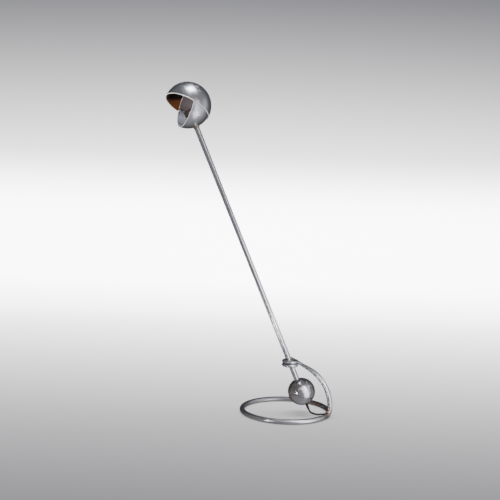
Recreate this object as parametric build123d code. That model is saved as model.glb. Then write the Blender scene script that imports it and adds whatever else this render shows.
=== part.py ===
from build123d import *
import math
import os

# Counterbalanced desk lamp. Millimetres and degrees, +Z up.
# The origin is on the table, at the centre of the base ring. The arm leans in a plane parallel to XZ.

# Base: one bent tube that runs round as a ring, turns up at a corner and arches back over the ring.
ring_radius = 129.0
tube_radius = 7.5
tube_wall = 2.0
ring_leaves_circle = -35.0  # azimuth where the front of the ring runs off straight towards the corner
ring_straight = 18.0
ring_back_end = -25.0  # azimuth of the coped back end of the ring
corner_bend_radius = 22.0
riser_radius = 116.0
riser_turn = 67.3
tip_turn = 14.0  # the last part of the arch, where the tube gives way to the tapered tip
tip_straight = 28.0
tip_spigot_turn = 4.0

# Collar: two turns of rod that clasp the pivot ball.
pivot = Vector(9.4, -3.3, 151.0)
rod_radius = 5.0
coil_radius = 19.7
coil_half_pitch = 5.2
coil_step = 20.0
coil_end = 718.0
drop_start = 370.0
drop_turn = 120.0

# Pivot ball and its liner.
ball_radius = 13.6
liner_inner = 13.9
liner_outer = 15.05
liner_half_height = 4.0

# Arm, measured along its own axis from the pivot.
arm_lean = 23.4
arm_radius = 8.0
arm_wall = 1.2
weight_below_pivot = 92.5
weight_radius = 40.5
tube_above_weight_centre = 12.0
head_above_pivot = 813.5

# Lead and its fittings.
lead_radius = 2.7
relief_length = 16.5
entry_azimuth = -18.0
outlet_azimuth = 12.0
grommet_proud = 2.4

# Head: two shells on one pair of pivot screws.
head_turn = 26.3
dome_outer = 68.5
cup_outer = 66.7
shell_wall = 1.0
shell_depth_past_centre = 4.5
cup_pole_angle = 53.8  # from straight down the arm, about the pivot screws
dome_pole_angle = 130.0
screw_radius = 1.5
nut_radius = 5.2
nut_boss_radius = 3.5
running_fit = 0.05

# Nipple, bush and lampholder on the arm's axis, measured from the centre of the head.
nipple_radius = 5.0
nipple_bore = 3.25
washer_thickness = 3.0
bush_flange = 3.0
bush_spigot = 14.0
swivel_gap = 0.1
holder_radius = 19.0
holder_wall = 2.0
holder_foot = -62.5
holder_joint = -44.0
holder_mouth = -13.5
holder_bore = 14.3
shell_outer = 13.9
shell_inner = 13.3
grip_grooves = 24

arm_place = Pos(pivot.X, pivot.Y, pivot.Z) * Rot(0, -arm_lean, 0)
head_place = arm_place * Pos(0, 0, head_above_pivot) * Rot(0, 0, head_turn)


def on_ring(radius, azimuth, height=tube_radius):
    """A point above the table, at an azimuth about the ring's centre."""
    turn = math.radians(azimuth)
    return Vector(radius * math.cos(turn), radius * math.sin(turn), height)


def rod(bottom, top, radius, far_radius=None):
    """A round bar along Z between two heights, or a taper where a second radius is given."""
    length = top - bottom
    if far_radius is None:
        return Pos(0, 0, bottom + length / 2) * Cylinder(radius, length)
    return Pos(0, 0, bottom + length / 2) * Cone(radius, far_radius, length)


def ring_of(bottom, top, outer, inner):
    """A round sleeve along Z."""
    return rod(bottom, top, outer) - rod(bottom - 1, top + 1, inner)


def hexagon_bar(bottom, top, across_flats):
    """A hexagonal bar along Z."""
    outline = RegularPolygon(across_flats / 2, 6, major_radius=False)
    return Pos(0, 0, bottom) * extrude(outline, top - bottom)


def swept(path, radius):
    """A round bar along a path."""
    section = Plane(path @ 0, z_dir=path % 0) * Circle(radius)
    return sweep(section, path)


def pipe(path, radius, wall):
    """A round tube along a path."""
    return swept(path, radius) - swept(path, radius - wall)


def smooth_step(value):
    """0 before 0, 1 after 1, and smooth between."""
    t = min(max(value, 0.0), 1.0)
    return t * t * (3 - 2 * t)


def bend_radii(points):
    """One radius for each corner of a route: 0.45 of the shorter run over the tangent of half the turn."""
    radii = []
    for before, here, after in zip(points, points[1:], points[2:]):
        run_in = here - before
        run_out = after - here
        half_turn = math.radians(run_in.get_angle(run_out)) / 2
        radii.append(0.45 * min(run_in.length, run_out.length) / math.tan(half_turn))
    return radii


def route(points):
    """Straight runs joined by tangent arcs."""
    return FilletPolyline(*points, radius=bend_radii(points))


# The corner: the straight run off the circle, the bend, and the vertical plane of the riser.
leave = on_ring(ring_radius, ring_leaves_circle)
ahead = on_ring(1, ring_leaves_circle + 90, 0)
upward = Vector(0, 0, 1)
bend_start = leave + ahead * ring_straight
foot = bend_start + ahead * corner_bend_radius + upward * corner_bend_radius
to_pivot = Vector(pivot.X - foot.X, pivot.Y - foot.Y, 0)
sideways = math.degrees(math.asin(coil_radius / to_pivot.length))
inward = to_pivot.normalized().rotate(Axis.Z, -sideways)
tangent_azimuth = math.degrees(math.atan2(inward.Y, inward.X)) - 90
slope = 90 - riser_turn
climb = inward * math.cos(math.radians(slope)) + upward * math.sin(math.radians(slope))


def on_arch(turn):
    """A point on the centreline of the arch, by its angle from the foot."""
    angle = math.radians(turn)
    return foot + inward * riser_radius * (1 - math.cos(angle)) + upward * riser_radius * math.sin(angle)


# Where the arch ends, and how high the rod runs on from it to meet the collar.
riser_top = on_arch(riser_turn)
half_step = math.radians(coil_step / 2)
ball_to_rod = math.hypot(coil_radius, coil_half_pitch)
level_run = Vector(riser_top.X - foot.X, riser_top.Y - foot.Y, 0)
level_to_coil = math.sqrt(to_pivot.length ** 2 - coil_radius ** 2) + coil_radius * math.tan(half_step)
crest_height = riser_top.Z + (level_to_coil - level_run.length) * math.tan(math.radians(slope))
coil_crest = crest_height - pivot.Z - coil_half_pitch


def arch_between(start, end):
    """Part of the arch's centreline, between two angles from the foot."""
    return ThreePointArc(on_arch(start), on_arch((start + end) / 2), on_arch(end))


def riser_path():
    """The centreline of the bend and of the arch as far as its tip."""
    half_bend = math.pi / 4
    bend_middle = (
        bend_start
        + ahead * corner_bend_radius * math.sin(half_bend)
        + upward * corner_bend_radius * (1 - math.cos(half_bend))
    )
    bend = ThreePointArc(bend_start, bend_middle, foot)
    return Wire([bend, arch_between(0, riser_turn - tip_turn)])


def ring_path():
    """The centreline of the ring, from its back end round to the start of the bend."""
    sweep_angle = 360 + ring_leaves_circle - ring_back_end
    middle = on_ring(ring_radius, ring_back_end + sweep_angle / 2)
    arc = ThreePointArc(on_ring(ring_radius, ring_back_end), middle, leave)
    return Wire([arc, Line(leave, bend_start)])


def fitting_hole(azimuth, direction, radius):
    """A bar through one wall of the ring: direction is -1 towards the ring's centre and 1 away from it."""
    at = on_ring(ring_radius + direction * tube_radius, azimuth)
    outward = on_ring(direction, azimuth, 0)
    return Plane(at, z_dir=outward) * Cylinder(radius, 2 * tube_wall + 2)


def ring_tube():
    tube = pipe(ring_path(), tube_radius, tube_wall) - swept(riser_path(), tube_radius)
    tube = max(tube.solids(), key=lambda solid: solid.volume)
    return tube - fitting_hole(entry_azimuth, -1, 3.6) - fitting_hole(outlet_azimuth, 1, 3.6)


def riser_tube():
    return pipe(riser_path(), tube_radius, tube_wall)


def corner_weld():
    """A fillet of weld all round the seam between the coped end of the ring and the bend."""
    bead = 1.5
    near = Wire([ThreePointArc(
        on_ring(ring_radius, ring_back_end + 0.5),
        on_ring(ring_radius, ring_back_end + 13),
        on_ring(ring_radius, ring_back_end + 26),
    )])
    around_ring = swept(near, tube_radius + bead)
    around_bend = swept(riser_path(), tube_radius + bead)
    weld = around_ring & around_bend
    weld = weld - swept(ring_path(), tube_radius) - swept(riser_path(), tube_radius)
    weld = weld & Pos(0, 0, 20.3) * Box(400, 400, 40)
    return max(weld.solids(), key=lambda solid: solid.volume)


def riser_tip():
    """The tapered end of the riser, with a spigot in the tube, that becomes the rod of the collar."""
    tip_start = riser_turn - tip_turn
    end = Line(riser_top, riser_top + climb * tip_straight)
    path = Wire([arch_between(tip_start, riser_turn), end])
    sections = [
        Plane(path @ 0, z_dir=path % 0) * Circle(tube_radius),
        Plane(path @ 1, z_dir=path % 1) * Circle(rod_radius),
    ]
    taper = sweep(sections, path, multisection=True)
    spigot_path = Wire([arch_between(tip_start - tip_spigot_turn, tip_start)])
    return taper + swept(spigot_path, tube_radius - tube_wall)


def coil_height(azimuth):
    """Height of the rod's centreline in the collar: level, with one drop between the two turns."""
    crest = coil_crest * (1 - smooth_step((azimuth - tangent_azimuth - coil_step / 2) / 90))
    drop = 2 * coil_half_pitch * smooth_step((azimuth - drop_start) / drop_turn)
    return pivot.Z + coil_half_pitch + crest - drop


def collar_coil():
    """The rod of the collar: a straight end, then nearly two turns, always as far from the ball."""
    points = [riser_top + climb * tip_straight]
    azimuth = tangent_azimuth + coil_step / 2
    while azimuth < coil_end:
        turn = math.radians(azimuth)
        height = coil_height(azimuth)
        off_level = min(abs(height - pivot.Z), coil_half_pitch)
        reach = math.sqrt(ball_to_rod ** 2 - off_level ** 2) / math.cos(half_step)
        along = Vector(reach * math.cos(turn), reach * math.sin(turn), height - pivot.Z)
        points.append(pivot + along)
        azimuth += coil_step
    return swept(route(points), rod_radius)


def ball_zone(radius, half_height):
    """A ball with its top and bottom cut off flat."""
    return Sphere(radius) & Box(4 * radius, 4 * radius, 2 * half_height)


def collar_liner():
    liner = ball_zone(liner_outer, liner_half_height) - Sphere(liner_inner)
    return Pos(pivot.X, pivot.Y, pivot.Z) * liner


def pivot_ball():
    body = ball_zone(ball_radius, 11.2) - rod(-20, 20, arm_radius)
    screw_hole = Rot(-90, 0, 0) * rod(arm_radius - 1, ball_radius + 1, 1.5)
    return arm_place * (body - screw_hole)


def ball_screw():
    """The small grub screw that holds the ball on the arm."""
    screw = rod(arm_radius, 11.4, 1.5) - hexagon_bar(10.0, 12.0, 1.5)
    return arm_place * Rot(-90, 0, 0) * screw


def arm_tube():
    bottom = tube_above_weight_centre - weight_below_pivot
    top = head_above_pivot - cup_outer - washer_thickness - swivel_gap - bush_flange
    return arm_place * ring_of(bottom, top, arm_radius, arm_radius - arm_wall)


def weight_place():
    return arm_place * Pos(0, 0, -weight_below_pivot)


def counterweight():
    ball = Sphere(weight_radius)
    ball = ball - rod(tube_above_weight_centre, weight_radius + 5, arm_radius)
    ball = ball - rod(-weight_radius - 5, tube_above_weight_centre + 1, 3.2)
    ball = ball - rod(-weight_radius - 5, -weight_radius + 8, 4.2)
    screw_hole = Pos(0, 0, 24) * Rot(-90, 0, 0) * rod(arm_radius - 1, weight_radius, 3.0)
    return weight_place() * (ball - screw_hole)


def weight_screw():
    """The grub screw in the back of the counterweight."""
    screw = rod(arm_radius, arm_radius + 10, 3.0) - hexagon_bar(arm_radius + 6, arm_radius + 11, 3.0)
    return weight_place() * Pos(0, 0, 24) * Rot(-90, 0, 0) * screw


def cord_relief():
    """The black rubber relief under the counterweight."""
    surface = -weight_radius
    seated = rod(surface - 1.0, surface + 8, 4.2)
    collar = rod(surface - 2.0, surface + 0.5, 5.2) - Sphere(weight_radius)
    taper = rod(surface - relief_length, surface - 2.0, 3.4, 4.2)
    body = seated + collar + taper
    return weight_place() * (body - rod(surface - relief_length - 1, surface + 9, lead_radius))


def arm_lead():
    """The lead inside the counterweight, the arm and the nipple."""
    bottom = -weight_below_pivot - weight_radius
    top = head_above_pivot + holder_foot - 2
    return arm_place * rod(bottom, top, lead_radius)


def top_bush():
    """The bush in the top of the arm that the head turns in."""
    top = -cup_outer - washer_thickness - swivel_gap
    flange = rod(top - bush_flange, top, arm_radius)
    spigot = rod(top - bush_flange - bush_spigot, top - bush_flange, arm_radius - arm_wall)
    bore = rod(top - bush_flange - bush_spigot - 1, top + 1, nipple_radius + running_fit)
    return head_place * (flange + spigot - bore)


def nipple():
    bottom = -cup_outer - washer_thickness - 2 * swivel_gap - bush_flange - bush_spigot - 4.5
    return head_place * ring_of(bottom, holder_foot + 8, nipple_radius, nipple_bore)


def nipple_nut():
    """The nut inside the arm that keeps the nipple in its bush."""
    top = -cup_outer - washer_thickness - 2 * swivel_gap - bush_flange - bush_spigot
    return head_place * ring_of(top - 4, top, 6.3, nipple_radius)


def cup_washer():
    """The brass washer between the arm and the cup, hollowed to the cup's curve."""
    washer = ring_of(-cup_outer - washer_thickness, -cup_outer + 2, 9.2, nipple_radius)
    return head_place * (washer - Sphere(cup_outer))


def inner_washer():
    """The washer inside the cup, rounded to the cup's curve, that the lampholder stands on."""
    washer = ring_of(-cup_outer, holder_foot, 10.5, nipple_radius)
    return head_place * (washer & Sphere(cup_outer - shell_wall))


def shell(outer, pole_angle, bead_radius, bead_at):
    """A spun bowl a little deeper than half a ball, with a rolled rim."""
    bowl = Sphere(outer) - Sphere(outer - shell_wall)
    rim = -shell_depth_past_centre
    bowl = bowl - Pos(0, 0, rim - outer) * Box(4 * outer, 4 * outer, 2 * outer)
    bead = Pos(0, 0, rim) * Torus(bead_at, bead_radius)
    return Rot(0, 180 - pole_angle, 0) * (bowl + bead)


def head_cup():
    bead_at = math.sqrt((cup_outer - 0.75) ** 2 - shell_depth_past_centre ** 2)
    bowl = shell(cup_outer, cup_pole_angle, 0.75, bead_at)
    bowl = bowl - rod(-cup_outer - 5, -cup_outer + 10, nipple_radius)
    return head_place * (bowl - Rot(90, 0, 0) * rod(-80, 80, screw_radius))


def head_dome():
    bead_at = math.sqrt((dome_outer - 0.1) ** 2 - shell_depth_past_centre ** 2)
    bowl = shell(dome_outer, dome_pole_angle, 0.9, bead_at)
    return head_place * (bowl - Rot(90, 0, 0) * rod(-80, 80, screw_radius + running_fit))


def both_sides(piece):
    """The same piece at the near and the far end of the pivot line."""
    return head_place * Compound(children=[Rot(90, 0, 0) * piece, Rot(-90, 0, 0) * piece])


def pivot_screws():
    shank = rod(cup_outer - shell_wall - 4.0, dome_outer + 0.1, screw_radius)
    cap = rod(dome_outer + 0.1, dome_outer + 0.7, 3.0) + rod(dome_outer + 0.7, dome_outer + 1.3, 3.0, 2.2)
    slot = Pos(0, 0, dome_outer + 1.3) * Box(7, 0.7, 1.0)
    return both_sides(shank + cap - slot)


def pivot_washers():
    """The fibre washers between the two shells."""
    disc = rod(cup_outer - 2, dome_outer, 4.0) & Sphere(dome_outer - shell_wall - running_fit)
    return both_sides(disc - Sphere(cup_outer) - rod(0, 80, screw_radius))


def pivot_nuts():
    """The domed nuts inside the cup, each with a boss that stands clear of the cup's rolled rim."""
    face = cup_outer - shell_wall
    shoulder = face - 3.2
    boss = rod(shoulder, face + 1, nut_boss_radius) & Sphere(face - running_fit)
    nut = boss + (rod(shoulder, face + 1, nut_radius) & Sphere(face - 0.6))
    lower_half = Pos(0, 0, -nut_radius) * Box(4 * nut_radius, 4 * nut_radius, 2 * nut_radius)
    crown = Pos(0, 0, shoulder) * (Sphere(nut_radius - 0.3) & lower_half)
    return both_sides(nut + crown - rod(face - 4.0, face + 2, screw_radius))


def holder_cap():
    """The lower half of the lampholder."""
    shoulder = holder_foot + 4
    bevel = rod(holder_foot, shoulder, holder_radius - 4, holder_radius)
    body = bevel + rod(shoulder, holder_joint, holder_radius)
    hollow = rod(holder_foot + 8, holder_joint + 1, holder_radius - holder_wall)
    return head_place * (body - hollow - rod(holder_foot - 1, holder_foot + 9, nipple_radius))


def holder_body():
    """The upper half of the lampholder, with a grooved grip."""
    body = ring_of(holder_joint, holder_mouth, holder_radius, holder_bore)
    body = body - rod(holder_joint - 1, holder_joint + 6, holder_radius - holder_wall)
    groove = Pos(holder_radius + 0.2, 0, 0) * rod(holder_joint + 6, holder_mouth - 4, 0.7)
    for step in range(grip_grooves):
        body = body - Rot(0, 0, step * 360 / grip_grooves) * groove
    return head_place * body


def holder_insert():
    """The ceramic disc that carries the contacts."""
    disc = rod(holder_joint, holder_joint + 4, holder_radius - holder_wall - 0.2)
    return head_place * (disc - rod(holder_joint - 1, holder_joint + 5, 1.2))


def screw_shell():
    """The brass shell that a bulb screws into."""
    return head_place * ring_of(holder_joint + 4, holder_mouth - 3, shell_outer, shell_inner)


def centre_contact():
    """The spring contact at the bottom of the shell."""
    stem_top = holder_joint + 7.5
    return head_place * (rod(holder_joint - 3, stem_top, 1.2) + rod(stem_top, stem_top + 0.6, 4.0))


def grommet(azimuth, direction):
    """A rubber grommet in one wall of the ring, with a bore for the lead."""
    at = on_ring(ring_radius + direction * tube_radius, azimuth)
    outward = on_ring(direction, azimuth, 0)
    body = rod(-tube_wall, grommet_proud - 0.6, 3.6)
    flange = rod(0.9, grommet_proud, 4.8)
    return Plane(at, z_dir=outward) * (body + flange - rod(-10, 10, lead_radius))


def entry_grommet():
    return grommet(entry_azimuth, -1)


def outlet_grommet():
    return grommet(outlet_azimuth, 1)


def base_lead():
    """The lead inside the ring, from the entry grommet to the outlet grommet."""
    proud = tube_radius + grommet_proud
    points = [on_ring(ring_radius - proud, entry_azimuth)]
    for azimuth in (entry_azimuth, -10.5, -3, 4.5, outlet_azimuth):
        points.append(on_ring(ring_radius, azimuth))
    points.append(on_ring(ring_radius + proud, outlet_azimuth))
    return swept(route(points), lead_radius)


# The free loop of lead, from under the counterweight to the entry grommet, in two lengths that meet
# near the table. The first point is on the relief and the last on the grommet.
lead_middle = Vector(85.3, -18.0, 3.2)
upper_route = [Vector(62.22, -3.3, 28.94), Vector(70.48, -3.3, 9.85), Vector(75.3, -8.4, 3.2), lead_middle]
lower_route = [lead_middle, Vector(95.3, -27.6, 3.2), Vector(104.7, -34.02, 7.5), Vector(113.26, -36.8, 7.5)]


def lead_loop_upper():
    return swept(route(upper_route), lead_radius)


def lead_loop_lower():
    return swept(route(lower_route), lead_radius)


makers = [
    ring_tube, riser_tube, corner_weld, riser_tip, collar_coil, entry_grommet, outlet_grommet, base_lead,
    lead_loop_lower, lead_loop_upper, collar_liner, pivot_ball, ball_screw, arm_tube, counterweight,
    weight_screw, cord_relief, arm_lead, top_bush, nipple, nipple_nut, cup_washer, inner_washer, head_cup,
    head_dome, pivot_screws, pivot_washers, pivot_nuts, holder_cap, holder_body, holder_insert,
    screw_shell, centre_contact,
]

os.makedirs("parts", exist_ok=True)
for make in makers:
    export_step(make(), f"parts/{make.__name__}.step")

for name, points in (("upper", upper_route), ("lower", lower_route)):
    path = route(points)
    section_times_length = math.pi * lead_radius ** 2 * path.length
    print(name, "lead: radii", [round(radius, 1) for radius in bend_radii(points)])
    print(name, "lead: length", round(path.length, 1))
    print(name, "lead: section times length", round(section_times_length))
    print(name, "lead: volume", round(swept(path, lead_radius).volume))
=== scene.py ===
import math

import bmesh
import bpy
from mathutils import Matrix, Quaternion, Vector


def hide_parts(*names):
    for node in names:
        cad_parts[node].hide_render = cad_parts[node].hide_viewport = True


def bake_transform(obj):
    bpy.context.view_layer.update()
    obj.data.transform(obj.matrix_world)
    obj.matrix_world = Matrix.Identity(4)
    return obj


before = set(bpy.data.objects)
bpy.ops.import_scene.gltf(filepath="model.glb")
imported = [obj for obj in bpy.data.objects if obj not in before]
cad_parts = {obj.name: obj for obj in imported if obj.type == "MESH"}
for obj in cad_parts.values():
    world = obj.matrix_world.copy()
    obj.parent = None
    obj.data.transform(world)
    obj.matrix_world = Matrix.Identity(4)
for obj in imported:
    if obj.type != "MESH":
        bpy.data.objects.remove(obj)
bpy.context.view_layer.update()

# The lamp's own geometry, in metres, as in the CAD source.
PIVOT = Vector((0.0094, -0.0033, 0.151))
PIVOT_TO_WEIGHT = 0.0925
PIVOT_TO_HEAD = 0.8135
WEIGHT_RADIUS = 0.0405
DOME_RADIUS = 0.0685
CUP_RADIUS = 0.0667
CORNER = (0.122, -0.052, 0.009)  # where the ring turns up into the riser
BEHIND_BALL = (0.098, 0.080, 0.0075)  # on the far side of the ring
LEAN = math.radians(23.4)
ARM_AXIS = Vector((-math.sin(LEAN), 0, math.cos(LEAN)))
WEIGHT = PIVOT - ARM_AXIS * PIVOT_TO_WEIGHT
HEAD = PIVOT + ARM_AXIS * PIVOT_TO_HEAD
HEAD_TURN = math.radians(26.3)
HEAD_FRAME = Matrix.Rotation(-LEAN, 3, "Y") @ Matrix.Rotation(HEAD_TURN, 3, "Z")


def shell_pole(degrees):
    """The pole of a shell of the head that is turned this far about the pivot screws."""
    turn = math.radians(degrees)
    return HEAD_FRAME @ Vector((math.sin(turn), 0, -math.cos(turn)))


CUP_POLE = shell_pole(53.8)
DOME_POLE = shell_pole(130)


# ---------------------------------------------------------------- camera

CAMERA_PLACE = (-0.1204, -2.6, 0.7111)
CAMERA_PITCH = math.radians(5.01)
CAMERA_ROLL = math.radians(1.81)
CAMERA_LENS = 63.907


def make_camera():
    """A camera that looks along +Y and slightly down, with a slight roll."""
    forward = Vector((0, math.cos(CAMERA_PITCH), -math.sin(CAMERA_PITCH)))
    level_up = Vector((0, math.sin(CAMERA_PITCH), math.cos(CAMERA_PITCH)))
    side = Vector((1, 0, 0))
    right = side * math.cos(CAMERA_ROLL) + level_up * math.sin(CAMERA_ROLL)
    up = level_up * math.cos(CAMERA_ROLL) - side * math.sin(CAMERA_ROLL)
    data = bpy.data.cameras.new("camera")
    data.sensor_width = 36
    data.lens = CAMERA_LENS
    data.clip_end = 60
    camera = bpy.data.objects.new("camera", data)
    turn = Matrix((right, up, -forward)).transposed().to_4x4()
    camera.matrix_world = Matrix.Translation(CAMERA_PLACE) @ turn
    bpy.context.scene.collection.objects.link(camera)
    bpy.context.scene.camera = camera


make_camera()


# ---------------------------------------------------------------- lead

LEAD_DIAMETER = 0.0054
LEAD_UPPER = [
    (0.06222, -0.0033, 0.02894),
    (0.07048, -0.0033, 0.00985),
    (0.0753, -0.0084, 0.0032),
    (0.0853, -0.018, 0.0032),
]
LEAD_LOWER = [
    (0.11326, -0.0368, 0.0075),
    (0.1047, -0.03402, 0.0075),
    (0.0953, -0.0276, 0.0032),
    (0.0853, -0.018, 0.0032),
]


def smooth_line(points):
    """Points along the NURBS curve that has these control points."""
    curve = bpy.data.curves.new("line", "CURVE")
    curve.dimensions = "3D"
    curve.resolution_u = 16
    spline = curve.splines.new("NURBS")
    spline.points.add(len(points) - 1)
    for control, point in zip(spline.points, points):
        control.co = (*point, 1)
    spline.order_u = 3
    spline.use_endpoint_u = True
    holder = bpy.data.objects.new("line", curve)
    bpy.context.scene.collection.objects.link(holder)
    bpy.context.view_layer.update()
    mesh = bpy.data.meshes.new_from_object(holder)
    line = [vertex.co.copy() for vertex in mesh.vertices]
    bpy.data.objects.remove(holder)
    bpy.data.meshes.remove(mesh)
    return line


def new_object(name, mesh):
    made = bpy.data.objects.new(name, mesh)
    bpy.context.scene.collection.objects.link(made)
    return made


def tube_along(name, line, radius):
    """A capped tube round a line, with its section carried along without twist."""
    sides = 28
    bm = bmesh.new()
    direction = (line[1] - line[0]).normalized()
    across = direction.orthogonal().normalized()
    rings = []
    for i, point in enumerate(line):
        ahead = line[min(i + 1, len(line) - 1)] - line[max(i - 1, 0)]
        turn = direction.rotation_difference(ahead.normalized())
        direction = ahead.normalized()
        across = (turn @ across).normalized()
        other = direction.cross(across)
        ring = []
        for k in range(sides):
            angle = 2 * math.pi * k / sides
            outward = across * math.cos(angle) + other * math.sin(angle)
            ring.append(bm.verts.new(point + outward * radius))
        rings.append(ring)
    for ring, following in zip(rings, rings[1:]):
        for k in range(sides):
            after = (k + 1) % sides
            face = bm.faces.new((ring[k], ring[after], following[after], following[k]))
            face.smooth = True
    bm.faces.new(reversed(rings[0]))
    bm.faces.new(rings[-1])
    bmesh.ops.recalc_face_normals(bm, faces=bm.faces)
    mesh = bpy.data.meshes.new(name)
    bm.to_mesh(mesh)
    bm.free()
    return new_object(name, mesh)


upper_line = smooth_line(LEAD_UPPER)
lower_line = smooth_line(LEAD_LOWER)
lead_upper = tube_along("lead_upper", upper_line, LEAD_DIAMETER / 2)
lead_lower = tube_along("lead_lower", lower_line, LEAD_DIAMETER / 2)
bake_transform(lead_upper)
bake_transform(lead_lower)
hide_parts("lead_loop_upper")
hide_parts("lead_loop_lower")


# ---------------------------------------------------------------- materials

class Shader:
    """A Principled material, with short calls for the nodes that feed it."""

    def __init__(self, name):
        self.material = bpy.data.materials.new(name)
        self.material.use_nodes = True
        self.tree = self.material.node_tree
        self.surface = self.tree.nodes["Principled BSDF"]
        self.place = self.node("ShaderNodeTexCoord").outputs["Object"]

    def node(self, kind, inputs=None, **settings):
        made = self.tree.nodes.new(kind)
        for key, value in settings.items():
            setattr(made, key, value)
        for key, value in (inputs or {}).items():
            self.feed(made.inputs[key], value)
        return made

    def feed(self, socket, value):
        if isinstance(value, bpy.types.NodeSocket):
            self.tree.links.new(value, socket)
        else:
            socket.default_value = value

    def set(self, **values):
        """Feeds the shader's own sockets; a name's underscores stand for spaces."""
        for key, value in values.items():
            self.feed(self.surface.inputs[key.replace("_", " ")], value)
        return self

    def math(self, operation, a, b=0.0):
        return self.node("ShaderNodeMath", {0: a, 1: b}, operation=operation).outputs[0]

    def vector(self, operation, a, b=(0, 0, 0)):
        made = self.node("ShaderNodeVectorMath", {0: a, 1: b}, operation=operation)
        gives_number = operation in ("DOT_PRODUCT", "DISTANCE", "LENGTH")
        return made.outputs["Value" if gives_number else "Vector"]

    def noise(self, scale, detail=4.0, roughness=0.5, at=None, distortion=0.0):
        inputs = {
            "Vector": at or self.place, "Scale": scale, "Detail": detail, "Roughness": roughness,
            "Distortion": distortion,
        }
        return self.node("ShaderNodeTexNoise", inputs).outputs["Fac"]

    def lines(self, along, scale):
        """Noise that changes along one coordinate only, as turning and spinning marks do."""
        inputs = {"W": along, "Scale": scale, "Detail": 3.0}
        return self.node("ShaderNodeTexNoise", inputs, noise_dimensions="1D").outputs["Fac"]

    def spots(self, scale):
        """Distance to the nearest of many scattered points."""
        inputs = {"Vector": self.place, "Scale": scale, "Randomness": 1.0}
        return self.node("ShaderNodeTexVoronoi", inputs).outputs["Distance"]

    def between(self, value, low, high, out_low=0.0, out_high=1.0):
        """Carries low..high to out_low..out_high, smoothly and with its ends held."""
        inputs = {
            "Value": value, "From Min": low, "From Max": high,
            "To Min": out_low, "To Max": out_high,
        }
        return self.node("ShaderNodeMapRange", inputs, interpolation_type="SMOOTHSTEP").outputs[0]

    def blend(self, share, a, b):
        """Color a where share is 0 and b where it is 1."""
        made = self.node("ShaderNodeMix", data_type="RGBA")
        for index, value in ((0, share), (6, a), (7, b)):
            self.feed(made.inputs[index], value if not isinstance(value, tuple) else (*value, 1))
        return made.outputs[2]

    def bump(self, height, distance, strength):
        inputs = {"Height": height, "Distance": distance, "Strength": strength}
        return self.node("ShaderNodeBump", inputs).outputs["Normal"]

    def from_point(self, point):
        return self.vector("DISTANCE", self.place, tuple(point))

    def along(self, axis, origin):
        """Distance along an axis from a point."""
        shifted = self.vector("SUBTRACT", self.place, tuple(origin))
        return self.vector("DOT_PRODUCT", shifted, tuple(axis))


NICKEL = (0.555, 0.56, 0.605)
NICKEL_DARK = (0.47, 0.455, 0.475)
TARNISH = (0.17, 0.105, 0.07)
MARK_DEPTH = 0.000004


def nickel(
    name, marks, light=NICKEL, dark=NICKEL_DARK, rough=0.27, spread=0.04, stain=0.15, pitting=0.2,
):
    """Old satin nickel plate: cloudy patina, fine pits and polishing marks.

    marks(shader) gives the marks' height. Returns the shader, its color and its roughness.
    """
    s = Shader(name)
    cloud = s.noise(17, 3, 0.5, distortion=0.3)
    mottle = s.noise(160, 3, 0.5)
    color = s.blend(s.between(cloud, 0.34, 0.66), dark, light)
    color = s.blend(s.between(mottle, 0.35, 0.75, 0.0, 0.12), color, NICKEL_DARK)
    color = s.blend(s.between(s.noise(48, 5, 0.65), 0.62, 0.80, 0.0, stain), color, TARNISH)
    pits = s.between(s.spots(520), 0.0, 0.12, pitting, 0.0)
    color = s.blend(pits, color, (0.16, 0.15, 0.14))
    roughness = s.between(s.noise(60, 3, 0.5), 0.3, 0.7, rough - spread, rough + spread)
    normal = s.bump(marks(s), MARK_DEPTH, 0.3)
    s.set(Base_Color=color, Roughness=roughness, Normal=normal, Metallic=1.0)
    return s, color, roughness


def ring_marks(s):
    """Marks that run along the ring."""
    parts = s.node("ShaderNodeSeparateXYZ", {0: s.place}).outputs
    level = s.node("ShaderNodeCombineXYZ", {0: parts[0], 1: parts[1]}).outputs[0]
    radius = s.vector("LENGTH", level)
    angle = s.math("ARCTAN2", parts[1], parts[0])
    around = s.math("MULTIPLY", angle, 0.003)
    at = s.node("ShaderNodeCombineXYZ", {0: radius, 1: around, 2: parts[2]}).outputs[0]
    return s.noise(1500, 3, 0.5, at)


def arm_marks(s):
    """Marks that run along the arm."""
    inputs = {"Vector": s.place, "Rotation": (0, -LEAN, 0), "Scale": (1, 1, 40)}
    at = s.node("ShaderNodeMapping", inputs, vector_type="TEXTURE").outputs[0]
    return s.noise(1500, 3, 0.5, at)


def even_marks(s):
    """Marks with no direction."""
    return s.noise(1100, 4, 0.6)


def spun_marks(pole, centre):
    """Marks that run round an axis, as on turned and spun pieces."""
    def marks(s):
        return s.lines(s.along(pole, centre), 900)
    return marks


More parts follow.
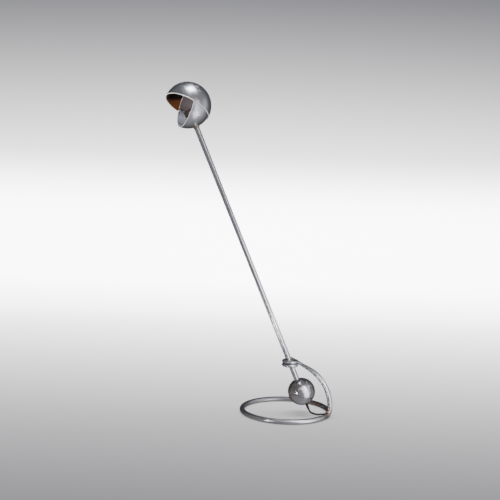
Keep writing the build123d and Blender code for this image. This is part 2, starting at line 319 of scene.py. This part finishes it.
def shell_steel(name, pole, outer, inside_low, inside_high, change, inside_rough, inside_metal):
    """A spun shell: plated outside, with a near-white rolled rim and an inside coloured by height.

    The inside goes from inside_low to inside_high over the heights in change, measured from
    the head's centre. This is painted light: the low inside is lit, and the high inside is in
    painted shade.
    """
    rim_low, rim_high = -0.0044, -0.0040  # along the pole, just under the rolled edge
    waver = 0.012  # how far the edge between the lit and the shaded inside wanders
    s, outside, roughness = nickel(name, spun_marks(pole, HEAD), rough=0.31, spread=0.03)
    radius = s.from_point(HEAD)
    inside = s.between(radius, outer - 0.0008, outer - 0.0003, 1.0, 0.0)
    rim = s.between(s.along(pole, HEAD), rim_low, rim_high, 1.0, 0.0)
    height = s.along((0, 0, 1), HEAD)
    height = s.math("ADD", height, s.math("MULTIPLY", s.noise(45, 4, 0.6), waver))
    # Painted light: the inside is lit low down and in painted shade higher up, under the other
    # shell.
    lit_low_shaded_high_share = s.between(height, change[0] + waver / 2, change[1] + waver / 2)
    inner = s.blend(lit_low_shaded_high_share, inside_low, inside_high)
    inner = s.blend(s.between(s.noise(120, 5, 0.65), 0.45, 0.75, 0.0, 0.35), inner, inside_high)
    foot = s.between(s.from_point(HEAD - ARM_AXIS * outer), 0.008, 0.034, 0.5, 0.0)
    outside = s.blend(foot, outside, (0.42, 0.31, 0.25))
    color = s.blend(inside, outside, inner)
    # Painted highlight: the rolled rim is near-white with little metal, so every lamp brightens
    # it.
    rim_painted_highlight = s.blend(s.noise(300, 4, 0.6), (0.92, 0.90, 0.88), (1.0, 0.99, 0.97))
    color = s.blend(rim, color, rim_painted_highlight)
    within = s.math("MULTIPLY", inside, s.math("SUBTRACT", 1.0, rim))
    rough = s.node("ShaderNodeMix", {0: within, 2: roughness, 3: inside_rough}).outputs[0]
    inner_metal = s.between(within, 0.0, 1.0, 1.0, inside_metal)
    rim_metal = s.between(rim, 0.0, 1.0, 1.0, 0.1)
    metal = s.math("MULTIPLY", inner_metal, rim_metal)
    s.set(Base_Color=color, Roughness=rough, Metallic=metal)
    return s.material


def ball_steel():
    """The turned counterweight, with painted shade in brown on its left side, and browner round
    the lead's hole.
    """
    marks = spun_marks(ARM_AXIS, WEIGHT)
    s, color, _ = nickel("weight_nickel", marks, rough=0.25, spread=0.03, stain=0.2)
    foot = WEIGHT - ARM_AXIS * WEIGHT_RADIUS
    patches = s.between(s.noise(110, 5, 0.65), 0.35, 0.62)
    # Painted shade: the left side of the ball is browned.
    left = s.between(s.along((1, 0, 0), WEIGHT), -0.030, 0.006, 0.45, 0.0)
    near = s.between(s.from_point(foot), 0.006, 0.026, 0.85, 0.0)
    patchy = s.math("ADD", s.math("MULTIPLY", patches, 0.6), 0.4)
    share = s.math("MULTIPLY", s.math("MAXIMUM", left, near), patchy)
    color = s.blend(share, color, (0.32, 0.20, 0.12))
    s.set(Base_Color=color)
    return s.material


def plated(name, marks, **options):
    """Nickel plate with nothing added."""
    return nickel(name, marks, **options)[0].material


def browned_and_shaded(name, marks, places, **options):
    """Nickel with painted shade in brown low down near the table, and browner round each (middle,
    reach) in places.
    """
    s, color, _ = nickel(name, marks, **options)
    patches = s.between(s.noise(150, 5, 0.65), 0.35, 0.62, 0.3, 0.9)
    for middle, reach in places:
        near = s.between(s.from_point(middle), reach * 0.3, reach, 1.0, 0.0)
        color = s.blend(s.math("MULTIPLY", near, patches), color, (0.26, 0.12, 0.055))
    height = s.node("ShaderNodeSeparateXYZ", {0: s.place}).outputs[2]
    # Painted shade: the tubes' undersides near the table are browned.
    painted_low_shade = s.between(height, 0.0015, 0.006, 0.8, 0.0)
    color = s.blend(s.math("MULTIPLY", painted_low_shade, patches), color, (0.20, 0.11, 0.07))
    s.set(Base_Color=color)
    return s.material


def weld_steel():
    """A dressed weld bead: ripples across the seam, and patches of heat tint."""
    s, color, _ = nickel("weld_nickel", even_marks, rough=0.34)
    inputs = {"Vector": s.place, "Scale": 260.0, "Distortion": 1.2}
    wave = s.node("ShaderNodeTexWave", inputs, wave_type="BANDS", bands_direction="Z")
    ripples = wave.outputs["Fac"]
    tint = s.between(s.noise(240, 4, 0.6), 0.4, 0.7, 0.0, 0.6)
    color = s.blend(tint, color, (0.14, 0.11, 0.095))
    s.set(Base_Color=color, Normal=s.bump(ripples, 0.00012, 0.6))
    return s.material


def rubber(name, color, rough, grain=900):
    """Matt rubber with dust on it."""
    s = Shader(name)
    dust = s.between(s.noise(140, 5, 0.65), 0.45, 0.8, 0.0, 0.5)
    tone = s.blend(dust, color, tuple(c * 2.6 + 0.012 for c in color))
    s.set(
        Base_Color=tone,
        Roughness=s.between(s.noise(260, 4, 0.6), 0.3, 0.7, rough - 0.07, rough + 0.1),
        Normal=s.bump(s.noise(grain, 3, 0.6), 0.00003, 0.6),
        Specular_IOR_Level=0.42,
    )
    return s.material


def turned_brass(name, axis, centre, light, dark):
    """Dull brass with brown spots and turning marks round an axis."""
    s = Shader(name)
    tone = s.blend(s.between(s.noise(70, 5, 0.65), 0.35, 0.65), dark, light)
    spots = s.between(s.noise(260, 5, 0.7), 0.6, 0.75, 0.0, 0.6)
    tone = s.blend(spots, tone, (0.10, 0.055, 0.03))
    s.set(
        Base_Color=tone,
        Metallic=1.0,
        Roughness=s.between(s.noise(200, 4, 0.6), 0.3, 0.7, 0.24, 0.42),
        Normal=s.bump(s.lines(s.along(axis, centre), 1800), 0.000015, 0.7),
    )
    return s.material


def moulded(name, light, dark, rough, coat=0.0, shine=0.5):
    """Plastic, fibre or ceramic, slightly cloudy and grainy."""
    s = Shader(name)
    s.set(
        Base_Color=s.blend(s.between(s.noise(45, 5, 0.6), 0.35, 0.68), dark, light),
        Roughness=s.between(s.noise(150, 5, 0.65), 0.3, 0.7, rough - 0.06, rough + 0.08),
        Normal=s.bump(s.noise(520, 4, 0.55), 0.00003, 0.5),
        Specular_IOR_Level=shine,
        Coat_Weight=coat,
        Coat_Roughness=0.12,
    )
    return s.material


def dress(material, *names):
    """Gives CAD nodes and new pieces a material."""
    for name in names:
        made = bpy.data.objects[name]
        if not made.material_slots:
            made.data.materials.append(material)
        for holder in made.material_slots:
            holder.material = material


TUBE_PLATE = {"stain": 0.1, "pitting": 0.08}  # the tubes and the rod are less worn
dress(
    browned_and_shaded(
        "ring_nickel", ring_marks, [(CORNER, 0.04), (BEHIND_BALL, 0.06)], rough=0.33, **TUBE_PLATE
    ),
    "ring_tube",
)
dress(
    browned_and_shaded("riser_nickel", even_marks, [(CORNER, 0.035)], rough=0.30, **TUBE_PLATE),
    "riser_tube",
)
dress(plated("rod_nickel", even_marks, rough=0.28, **TUBE_PLATE), "riser_tip", "collar_coil")
dress(plated("arm_nickel", arm_marks, rough=0.24, **TUBE_PLATE), "arm_tube")
dress(weld_steel(), "corner_weld")
dress(plated("pivot_ball_nickel", spun_marks(ARM_AXIS, PIVOT), rough=0.2), "pivot_ball")
dress(ball_steel(), "counterweight")
# The dome's inside: burnt brown, with an orange painted sheen low down and near-black painted
# shade higher up.
dress(
    shell_steel(
        "dome_nickel", DOME_POLE, DOME_RADIUS, inside_low=(0.30, 0.11, 0.04),
        inside_high=(0.018, 0.010, 0.008), change=(0.008, 0.026), inside_rough=0.4,
        inside_metal=0.5,
    ),
    "head_dome",
)
# The cup's inside: pale bluish painted light low down, and dark brown painted shade higher up,
# under the dome.
dress(
    shell_steel(
        "cup_nickel", CUP_POLE, CUP_RADIUS, inside_low=(0.72, 0.74, 0.88),
        inside_high=(0.17, 0.135, 0.14), change=(-0.034, -0.008), inside_rough=0.45,
        inside_metal=0.3,
    ),
    "head_cup",
)
dress(
    plated(
        "fastener_steel", even_marks, light=(0.60, 0.60, 0.60), dark=(0.36, 0.35, 0.34), rough=0.3
    ),
    "ball_screw", "weight_screw", "pivot_screws",
)
# Painted highlight: the pivot nuts are near-white, brighter than steel.
dress(
    plated("nut_painted_glint", even_marks, light=(1.0, 0.99, 0.98), dark=(0.90, 0.88, 0.86), rough=0.4),
    "pivot_nuts",
)
dress(
    turned_brass("dull_brass", ARM_AXIS, HEAD, (0.55, 0.38, 0.19), (0.30, 0.19, 0.10)),
    "nipple", "nipple_nut", "inner_washer", "screw_shell", "centre_contact",
)
dress(
    turned_brass("worn_brass", ARM_AXIS, HEAD, (0.50, 0.43, 0.37), (0.34, 0.28, 0.23)),
    "top_bush", "cup_washer",
)
dress(
    rubber("black_rubber", (0.013, 0.0125, 0.012), 0.55),
    "cord_relief", "entry_grommet", "outlet_grommet",
)
dress(
    rubber("lead_sheath", (0.011, 0.011, 0.011), 0.42, 700),
    "lead_upper", "lead_lower", "base_lead", "arm_lead",
)
dress(moulded("black_nylon", (0.05, 0.05, 0.05), (0.025, 0.025, 0.025), 0.5), "collar_liner")
dress(moulded("fibre", (0.30, 0.08, 0.045), (0.16, 0.035, 0.02), 0.62, shine=0.3), "pivot_washers")
dress(
    moulded("brown_phenolic", (0.060, 0.030, 0.022), (0.022, 0.012, 0.010), 0.28, coat=0.25),
    "holder_cap", "holder_body",
)
dress(moulded("ceramic", (0.80, 0.78, 0.72), (0.66, 0.63, 0.57), 0.3, coat=0.5), "holder_insert")


# ---------------------------------------------------------------- floor, backdrop and light

def backdrop():
    """A pale floor that sweeps up into a plain wall, and glows.

    Its tone is painted light: darkest on the floor 0.75 m in front of the lamp, rising away from
    there, and falling again with height. The paper glows with its tone and with a band on the
    wall.
    """
    reach, wall, bend, steps = 9.0, 6.0, 2.5, 24
    profile = [(-reach, 0.0)]
    for i in range(steps + 1):
        angle = math.pi / 2 * i / steps
        profile.append((wall - bend + bend * math.sin(angle), bend - bend * math.cos(angle)))
    profile.append((wall, reach))
    bm = bmesh.new()
    left = [bm.verts.new((-reach, y, z)) for y, z in profile]
    right = [bm.verts.new((reach, y, z)) for y, z in profile]
    for i in range(len(profile) - 1):
        bm.faces.new((left[i], right[i], right[i + 1], left[i + 1])).smooth = True
    mesh = bpy.data.meshes.new("backdrop")
    bm.to_mesh(mesh)
    bm.free()
    made = new_object("backdrop", mesh)
    s = Shader("backdrop_paper")
    parts = s.node("ShaderNodeSeparateXYZ", {0: s.place}).outputs
    from_front = s.math("ABSOLUTE", s.math("ADD", parts[1], 0.75))
    slowing = s.math("SUBTRACT", 1.22, s.math("MULTIPLY", from_front, 0.1))
    forward = s.math("SUBTRACT", s.math("MULTIPLY", from_front, slowing), 2.5)
    forward = s.math("MINIMUM", forward, 0.0)
    high = s.math("MAXIMUM", s.math("MULTIPLY", s.math("SUBTRACT", parts[2], 0.45), 1.46), 0.0)
    tone = s.math("MULTIPLY", s.math("POWER", math.e, s.math("SUBTRACT", forward, high)), 0.95)
    cloud = s.math("MULTIPLY", s.noise(3, 4, 0.5), 0.02)
    tone = s.math("SUBTRACT", tone, s.math("MULTIPLY", cloud, tone))
    # Painted light: a band on the wall that glows.
    band = s.math(
        "MULTIPLY", s.between(parts[1], 1.4, 3.4), s.between(parts[2], 0.25, 0.9, 5.0, 0.0)
    )
    lit = s.math("MULTIPLY", tone, 0.42)
    s.set(
        Base_Color=s.blend(lit, (0.0, 0.0, 0.004), (1.0, 1.0, 1.0)),
        Roughness=0.9,
        Specular_IOR_Level=0.0,
        Emission_Color=(1.0, 0.995, 1.0, 1),
        Emission_Strength=s.math("ADD", band, s.math("MULTIPLY", tone, 2.6)),
    )
    dress(s.material, "backdrop")
    made.visible_glossy = False


def softbox(name, at, target, size, power):
    """A white area light that faces a point and isn't seen itself."""
    data = bpy.data.lights.new(name, "AREA")
    data.shape = "RECTANGLE"
    data.size, data.size_y = size
    data.energy = power
    lamp = bpy.data.objects.new(name, data)
    lamp.location = at
    lamp.rotation_mode = "QUATERNION"
    lamp.rotation_quaternion = (Vector(target) - Vector(at)).to_track_quat("-Z", "Y")
    lamp.visible_camera = False
    bpy.context.scene.collection.objects.link(lamp)
    return lamp


def card(name, at, target, size, power, color=(1, 1, 1), roll=0):
    """A softbox that shows in the metal and leaves the floor alone.

    It has a color, and is turned about its own axis by roll degrees.
    """
    made = softbox(name, at, target, size, power)
    made.data.color = color
    made.rotation_quaternion = made.rotation_quaternion @ Quaternion((0, 0, 1), math.radians(roll))
    made.visible_diffuse = False


def wash(name, at, target, size, power):
    """A softbox that lights the floor and the matt pieces and doesn't show in the metal."""
    made = softbox(name, at, target, size, power)
    made.visible_glossy = False


def studio_world():
    """Dim surroundings: lighter below and on the right, darker behind."""
    world = bpy.data.worlds.new("studio")
    bpy.context.scene.world = world
    world.use_nodes = True
    tree = world.node_tree
    place = tree.nodes.new("ShaderNodeTexCoord").outputs["Generated"]
    split = tree.nodes.new("ShaderNodeSeparateXYZ")
    tree.links.new(place, split.inputs[0])

    def share(axis, low, high, out_low, out_high):
        """Carries low..high along an axis of the direction to out_low..out_high."""
        made = tree.nodes.new("ShaderNodeMapRange")
        made.interpolation_type = "SMOOTHSTEP"
        tree.links.new(split.outputs[axis], made.inputs[0])
        for index, value in zip((1, 2, 3, 4), (low, high, out_low, out_high)):
            made.inputs[index].default_value = value
        return made.outputs[0]

    def joined(operation, a, b):
        made = tree.nodes.new("ShaderNodeMath")
        made.operation = operation
        tree.links.new(a, made.inputs[0])
        tree.links.new(b, made.inputs[1])
        return made.outputs[0]

    level = joined("ADD", share(0, -0.6, 0.9, 0.13, 0.25), share(2, -0.7, 0.3, 0.28, 0.10))
    level = joined("MULTIPLY", level, share(1, 0.1, 0.85, 1.0, 0.22))
    background = tree.nodes["Background"]
    background.inputs["Color"].default_value = (0.95, 0.97, 1.0, 1)
    tree.links.new(level, background.inputs["Strength"])


backdrop()
studio_world()
card("top_card", (-0.25, -0.075, 1.24), HEAD, (0.15, 0.15), 1.1, (0.95, 0.98, 1.0))
card("right_front_card", (0.28, -0.35, 0.12), WEIGHT, (0.30, 1.0), 2.9, (0.95, 0.97, 1.0), roll=20)
card("right_dim_card", (0.9, -0.35, 0.3), WEIGHT, (0.9, 1.2), 2.4, (0.95, 0.97, 1.0))
card("right_front_dot", (0.325, -0.305, 0.34), HEAD, (0.05, 0.05), 0.5)
card("arm_card", (0.55, -0.75, 0.75), (-0.15, 0.0, 0.55), (0.12, 1.1), 2.2, (0.97, 0.98, 1.0))
card("right_card", (1.7, 0.25, 1.25), HEAD, (1.0, 1.0), 1.5, (0.92, 0.93, 1.0))
card("left_lamp", (-0.37, -0.46, 0.0), WEIGHT, (0.06, 0.06), 0.9)
card("front_card", (0.2, -2.4, 1.7), (0.0, 0.0, 0.1), (3.4, 0.7), 9)
wash("front_fill", (-1.2, -2.2, 0.5), HEAD, (1.4, 1.4), 52)
wash("overhead", (0.2, -0.6, 3.2), (0.0, 0.0, 0.0), (5.0, 5.0), 80)
wash("backdrop_light", (0.0, 1.0, 5.5), (0.0, 4.4, 0.2), (6.0, 3.0), 2600)
